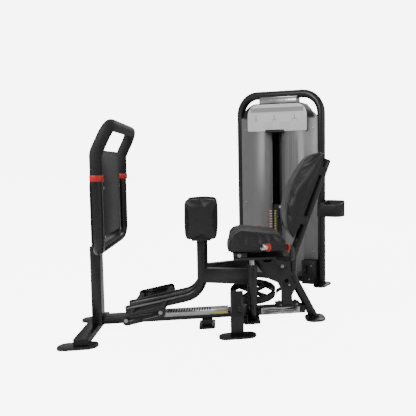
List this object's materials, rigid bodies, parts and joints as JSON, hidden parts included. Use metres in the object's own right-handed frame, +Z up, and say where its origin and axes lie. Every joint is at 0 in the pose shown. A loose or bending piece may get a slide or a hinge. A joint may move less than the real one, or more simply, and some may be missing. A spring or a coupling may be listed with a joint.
{
  "type": "hip machine with weight stack",
  "caption": "Seated gym machine with hinged leg arms and thigh pads, front shield post, padded seat and turned weight tower.",
  "frame": {"origin": "middle of the footprint, on the floor", "axes": "+X runs back from the front post to the seat, +Y towards the weight tower, +Z up"},
  "size_m": [1.6906, 1.8126, 1.472],
  "materials": {
    "frame_black": "black powder coat, satin",
    "upholstery_black": "black vinyl, fine grain",
    "shroud_silver": "silver grey powder coat",
    "shell_black": "black moulded, fine texture",
    "placard_white": "printed white sheet",
    "clamp_red": "red moulded",
    "chrome_bright": "polished",
    "trim_bright": "brushed along its length",
    "rubber_black": "soft black rubber",
    "fastener_steel": "zinc plated",
    "weight_black": "black painted steel",
    "pin_black": "black moulded knob",
    "belt_black": "black reinforced belt",
    "pulley_black": "black nylon"
  },
  "bodies": {
    "frame": {"front_foot_tube": "frame_black", "front_post": "frame_black", "shield_frame": "frame_black", "main_beam": "frame_black", "spine_tube": "frame_black", "outrigger_leg": "frame_black", "foot_plates": "frame_black", "seat_stand": "frame_black", "handle_tubes": "frame_black", "back_mounts": "frame_black", "tower_arch": "frame_black", "tower_base": "frame_black", "header_panel": "frame_black", "link_tube": "frame_black", "seat_pan": "frame_black", "seat_cushion": "upholstery_black", "back_cushion": "upholstery_black", "shroud_left": "shroud_silver", "shroud_right": "shroud_silver", "outer_panel": "shell_black", "inner_panel": "shell_black", "rear_cover": "shell_black", "pulley_cover": "shell_black", "accessory_tray": "shell_black", "placard": "placard_white", "shield_clamps": "clamp_red", "handle_rings": "clamp_red", "handle_tips": "chrome_bright", "guide_rods": "chrome_bright", "pivot_shafts": "chrome_bright", "cam_axle": "chrome_bright", "tread_cover": "trim_bright", "side_trim": "trim_bright", "top_bracket": "trim_bright", "shield_grip": "rubber_black", "handle_grips": "rubber_black", "panel_screws": "fastener_steel", "shield_bolts": "fastener_steel", "resting_plates": "weight_black", "drive_belt": "belt_black"},
    "near_arm": {"near_arm_frame": "frame_black", "near_pad": "upholstery_black", "near_pad_bracket": "frame_black", "near_pegs": "frame_black", "near_peg_plate": "frame_black", "near_peg_bolts": "fastener_steel"},
    "far_arm": {"far_arm_frame": "frame_black", "far_pad": "upholstery_black", "far_pad_bracket": "frame_black", "far_pegs": "frame_black", "far_peg_plate": "frame_black", "far_peg_bolts": "fastener_steel"},
    "cam": {"cam_wheel": "frame_black"},
    "stack": {"head_plate": "weight_black", "lifted_plates": "weight_black", "increment_knob": "trim_bright", "lift_belt": "belt_black"},
    "pin": {"selector_pin": "pin_black"},
    "stop": {"stop_knob": "shell_black"},
    "pulley": {"top_pulley": "pulley_black"}
  },
  "joints": [
    {"name": "near_arm_swing", "type": "hinge", "parent": "frame", "child": "near_arm", "pos_m": [0.11671, -0.63646, 0.26], "axis": [0, 0, 1], "range_deg": [0, 45]},
    {"name": "far_arm_swing", "type": "hinge", "parent": "frame", "child": "far_arm", "pos_m": [0.11671, -0.30646, 0.26], "axis": [0, 0, -1], "range_deg": [0, 45]},
    {"name": "cam_turn", "type": "hinge", "parent": "frame", "child": "cam", "pos_m": [0.12771, -0.47146, 0.183], "axis": [0, -0.2079, 0.9781], "range_deg": [0, 45]},
    {"name": "stack_lift", "type": "slide", "parent": "frame", "child": "stack", "axis": [0, 0, 1], "range_m": [0, 0.24], "deforming": ["lift_belt"]},
    {"name": "pin_pull", "type": "slide", "parent": "stack", "child": "pin", "axis": [-0.5635, -0.8261, 0], "range_m": [0, 0.06]},
    {"name": "stop_pull", "type": "slide", "parent": "frame", "child": "stop", "axis": [0, -1, 0], "range_m": [0, 0.015], "stiffness_N_per_m": 800},
    {"name": "pulley_turn", "type": "hinge", "parent": "frame", "child": "pulley", "pos_m": [0.44618, 0.68568, 1.29], "axis": [-0.8261, 0.5635, 0], "range_deg": [0, 240]}
  ],
  "couplings": [
    {"joint": "far_arm_swing", "follows": "near_arm_swing", "ratio": 1},
    {"joint": "cam_turn", "follows": "near_arm_swing", "ratio": 1},
    {"joint": "stack_lift", "follows": "near_arm_swing", "m_per_rad": 0.3},
    {"joint": "pulley_turn", "follows": "near_arm_swing", "ratio": 5.2817}
  ]
}
